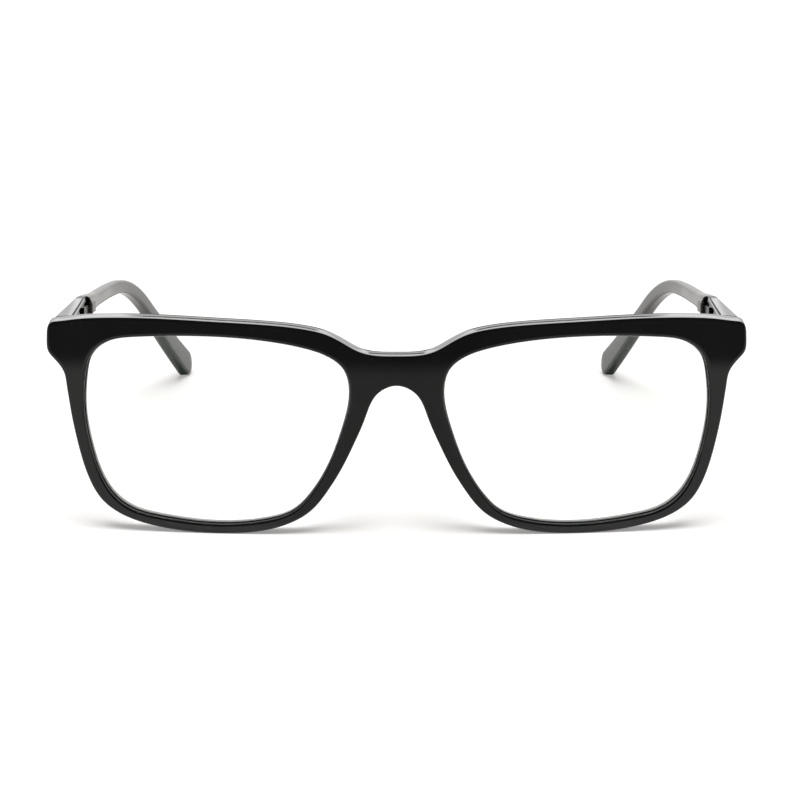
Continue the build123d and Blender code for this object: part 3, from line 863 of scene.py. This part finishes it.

# %% [markdown]
# ## Table and light
# Polished black plastic has almost no colour of its own: what the eye sees is the room in it. The studio
# has a white table, a bright wall behind it, nothing bright overhead and a dark room in front. The table's
# shading keeps the shadows, and a little of its own light in the camera's view makes it plain white.
# Reflections alone see painted shade on it: a painted dark band ahead of the front and a darker middle.

# %% Table
# The eye sees plain white with a soft grey shadow. Polished pieces mirror it white only up to a painted dark band.
TABLE_WHITE = "#f9f8f6"
PAINTED_DARK_FAR, PAINTED_DARK_NEAR, PAINTED_DARK_LEVEL = 0.096, 0.083, 0.16
PAINTED_DARK_BEND, PAINTED_DARK_BEND_WIDTH, PAINTED_DARK_BEND_NEARER = 0.073, 0.04, 0.014
MIDDLE_SHADE, SIDE_SHADE, BEHIND_SHADE = 0.50, 0.82, 0.84
SHADE_MIDDLE, SHADE_SIDE, FRONT_FADE = 0.005, 0.06, 0.008
VIEW_LIFT, LENS_LIFT = 0.28, 0.10
TABLE_REACH = 4.0
table, tree, output = new_material("white_table_laminate_with_painted_mirror_shade")
paths = add_node(tree, "ShaderNodeLightPath")
seen = add_node(tree, "ShaderNodeMath", {"operation": "MAXIMUM"},
                {0: paths.outputs["Is Camera Ray"], 1: paths.outputs["Is Transmission Ray"]})
where = add_node(tree, "ShaderNodeTexCoord")
split = add_node(tree, "ShaderNodeSeparateXYZ", {}, {0: where.outputs["Object"]})
# Painted shade, seen only in reflections: a dark band that nears the front at the sides, and a darker middle.
aside = add_node(tree, "ShaderNodeMath", {"operation": "ABSOLUTE"}, {0: split.outputs["X"]})
painted_dark_nearer = add_node(tree, "ShaderNodeMapRange", {
    "From Min": PAINTED_DARK_BEND, "From Max": PAINTED_DARK_BEND + PAINTED_DARK_BEND_WIDTH, "To Min": 0.0, "To Max": PAINTED_DARK_BEND_NEARER},
    {"Value": aside.outputs[0]})
ahead = add_node(tree, "ShaderNodeMath", {"operation": "SUBTRACT"},
                 {0: split.outputs["Y"], 1: painted_dark_nearer.outputs[0]})
# Painted dark band: reflections alone see the table turn dark this far ahead of the front.
painted_dark_band = add_node(tree, "ShaderNodeMapRange", {
    "interpolation_type": "SMOOTHSTEP", "From Min": FRONT_Y - PAINTED_DARK_FAR,
    "From Max": FRONT_Y - PAINTED_DARK_NEAR, "To Min": PAINTED_DARK_LEVEL, "To Max": 1.0}, {"Value": ahead.outputs[0]})
# Painted shade: reflections see the table's middle darker, as if in the camera's shadow.
camera_shade = add_node(tree, "ShaderNodeMapRange", {
    "interpolation_type": "SMOOTHSTEP", "From Min": SHADE_MIDDLE, "From Max": SHADE_SIDE,
    "To Min": MIDDLE_SHADE, "To Max": SIDE_SHADE}, {"Value": aside.outputs[0]})
behind_front = add_node(tree, "ShaderNodeMapRange", {
    "From Min": FRONT_Y - FRONT_FADE, "From Max": FRONT_Y, "To Min": 0.0, "To Max": BEHIND_SHADE},
    {"Value": split.outputs["Y"]})
level = add_node(tree, "ShaderNodeMath", {"operation": "MAXIMUM"},
                 {0: camera_shade.outputs[0], 1: behind_front.outputs[0]})
mirrored = add_node(tree, "ShaderNodeMath", {"operation": "MULTIPLY"},
                    {0: painted_dark_band.outputs[0], 1: level.outputs[0]})
# Only reflections get the painted dark band and shade; every other ray sees the table's full white.
lit = add_node(tree, "ShaderNodeMath", {"operation": "MAXIMUM"}, {0: mirrored.outputs[0]})
not_gloss = add_node(tree, "ShaderNodeMath", {"operation": "SUBTRACT", 0: 1.0},
                     {1: paths.outputs["Is Glossy Ray"]})
tree.links.new(not_gloss.outputs[0], lit.inputs[1])
shade = add_node(tree, "ShaderNodeMixRGB", {"Color1": (0, 0, 0, 1), "Color2": colour(TABLE_WHITE)},
                 {"Fac": lit.outputs[0]})
board = add_node(tree, "ShaderNodeBsdfDiffuse", {}, {"Color": shade.outputs[0]})
through_lens = add_node(tree, "ShaderNodeMath", {"operation": "MULTIPLY", 1: LENS_LIFT},
                        {0: paths.outputs["Is Transmission Ray"]})
lift = add_node(tree, "ShaderNodeMath", {"operation": "MULTIPLY_ADD", 1: VIEW_LIFT},
                {0: seen.outputs[0], 2: through_lens.outputs[0]})
glow = add_node(tree, "ShaderNodeEmission", {"Color": (1, 1, 1, 1)}, {"Strength": lift.outputs[0]})
both = add_node(tree, "ShaderNodeAddShader", {}, {0: board.outputs[0], 1: glow.outputs[0]})
tree.links.new(both.outputs[0], output.inputs["Surface"])

bm = bmesh.new()
bmesh.ops.create_grid(bm, x_segments=1, y_segments=1, size=TABLE_REACH)
mesh = bpy.data.meshes.new("table_top")
bm.to_mesh(mesh)
bm.free()
table_top = bpy.data.objects.new("table_top", mesh)
mesh.materials.append(table)
bpy.context.scene.collection.objects.link(table_top)
# Painted dark band: the print gives how far ahead of the front reflections see it start.
print("table", TABLE_WHITE, "its painted dark for reflections starts", round(PAINTED_DARK_FAR / MM), "mm ahead of the front")

# %% [markdown]
# ## The room
# Walls are given as pairs of height (the sine of the angle above the table) and brightness. The thin dark
# gap low on the back wall is what draws the fine line along the brow's top edge, and the brighter side
# walls are what the lugs' tops mirror. Sideways and backward, the walls start and end at sines of angles
# too. Only reflections see these walls; everything else sees an even, faintly warm room.

# %% Room
BACK_WALL = [(0.0, 0.24), (0.09, 0.24), (0.12, 0.07), (0.25, 0.07), (0.28, 0.50), (0.346, 0.52),
             (0.350, 0.03), (0.378, 0.03), (0.383, 0.85), (0.66, 0.85), (0.74, 0.015), (1.0, 0.01)]
SIDE_WALL = [(0.09, 0.0), (0.14, 0.46), (0.275, 0.46), (0.31, 0.82), (0.66, 0.82), (0.72, 0.0)]
BACK_STARTS, BACK_FULL, BESIDE_SHARE = 0.05, 0.35, 0.02
SIDE_STARTS, SIDE_FULL = 0.095, 0.125
FAR_STARTS, FAR_FULL, FAR_SHARE = 0.32, 0.42, 0.3
WALL_LIGHT, ROOM_LIGHT = 3.6, 0.18


def brightness_by_height(tree, height, steps):
    """A colour ramp over a height, from pairs of height and brightness."""
    made = add_node(tree, "ShaderNodeValToRGB", {}, {"Fac": height})
    stops = made.color_ramp.elements
    for stop, (place, level) in zip(stops, (steps[0], steps[-1])):
        stop.position, stop.color = place, (level, level, level, 1)
    for place, level in steps[1:-1]:
        stops.new(place).color = (level, level, level, 1)
    return made


world = bpy.data.worlds.new("studio")
bpy.context.scene.world = world
world.use_nodes = True
world.cycles.sampling_method = "NONE"
tree = world.node_tree
tree.nodes.clear()
output = add_node(tree, "ShaderNodeOutputWorld")
paths = add_node(tree, "ShaderNodeLightPath")
seen = add_node(tree, "ShaderNodeMath", {"operation": "MAXIMUM"},
                {0: paths.outputs["Is Camera Ray"], 1: paths.outputs["Is Transmission Ray"]})
where = add_node(tree, "ShaderNodeTexCoord")
split = add_node(tree, "ShaderNodeSeparateXYZ", {}, {0: where.outputs["Generated"]})
back_wall = brightness_by_height(tree, split.outputs["Z"], BACK_WALL)
side_wall = brightness_by_height(tree, split.outputs["Z"], SIDE_WALL)
behind = add_node(tree, "ShaderNodeMapRange", {
    "interpolation_type": "SMOOTHSTEP", "From Min": BACK_STARTS, "From Max": BACK_FULL,
    "To Min": BESIDE_SHARE, "To Max": 1.0}, {"Value": split.outputs["Y"]})
sideways = add_node(tree, "ShaderNodeMath", {"operation": "ABSOLUTE"}, {0: split.outputs["X"]})
corner_light = add_node(tree, "ShaderNodeMapRange", {
    "interpolation_type": "SMOOTHSTEP", "From Min": SIDE_STARTS, "From Max": SIDE_FULL,
    "To Min": 0.0, "To Max": 1.0}, {"Value": sideways.outputs[0]})
wall_end = add_node(tree, "ShaderNodeMapRange", {
    "interpolation_type": "SMOOTHSTEP", "From Min": FAR_STARTS, "From Max": FAR_FULL,
    "To Min": 1.0, "To Max": FAR_SHARE}, {"Value": sideways.outputs[0]})
corner_height = add_node(tree, "ShaderNodeMath", {"operation": "MULTIPLY"},
                         {0: corner_light.outputs[0], 1: side_wall.outputs["Color"]})
corner_wall = add_node(tree, "ShaderNodeMath", {"operation": "MULTIPLY"},
                       {0: corner_height.outputs[0], 1: wall_end.outputs[0]})
brightest = add_node(tree, "ShaderNodeMath", {"operation": "MAXIMUM"},
                     {0: back_wall.outputs["Color"], 1: corner_wall.outputs[0]})
wall = add_node(tree, "ShaderNodeMath", {"operation": "MULTIPLY"},
                {0: brightest.outputs[0], 1: behind.outputs[0]})
wall_light = add_node(tree, "ShaderNodeMath", {"operation": "MULTIPLY", 1: WALL_LIGHT}, {0: wall.outputs[0]})
reflected = add_node(tree, "ShaderNodeBackground", {"Color": (1, 1, 1, 1)},
                     {"Strength": wall_light.outputs[0]})
ambient = add_node(tree, "ShaderNodeBackground", {"Color": colour("#fffaf4"), "Strength": ROOM_LIGHT})
white = add_node(tree, "ShaderNodeBackground", {"Color": (1, 1, 1, 1), "Strength": 1.0})
for_gloss = add_node(tree, "ShaderNodeMixShader", {},
                     {0: paths.outputs["Is Glossy Ray"], 1: ambient.outputs[0], 2: reflected.outputs[0]})
pick = add_node(tree, "ShaderNodeMixShader", {},
                {0: seen.outputs[0], 1: for_gloss.outputs[0], 2: white.outputs[0]})
tree.links.new(pick.outputs[0], output.inputs["Surface"])
print("room", len(BACK_WALL), "steps up the back wall and", len(SIDE_WALL), "up the side walls")

# %% [markdown]
# ## Lamp
# A wide diffuser hangs above and a little in front, and gives the soft grey shadow on the table.

# %% Lamp
LAMP_STRENGTH, LAMP_WIDTH, LAMP_TILT = 0.85 * math.pi, 42, 18
sun = bpy.data.lights.new("overhead_diffuser", "SUN")
sun.energy = LAMP_STRENGTH
sun.angle = math.radians(LAMP_WIDTH)
lamp = bpy.data.objects.new("overhead_diffuser", sun)
lamp.rotation_euler = (math.radians(LAMP_TILT), 0, 0)
lamp.visible_glossy = False
bpy.context.scene.collection.objects.link(lamp)
print("lamp", lamp.name, "table shade", [round(c, 3) for c in colour(TABLE_WHITE)[:3]])

# %% [markdown]
# ## Look
# The colours are shown as they are worked out, with no film curve over them.

# %% Look
bpy.context.scene.view_settings.view_transform = "Standard"
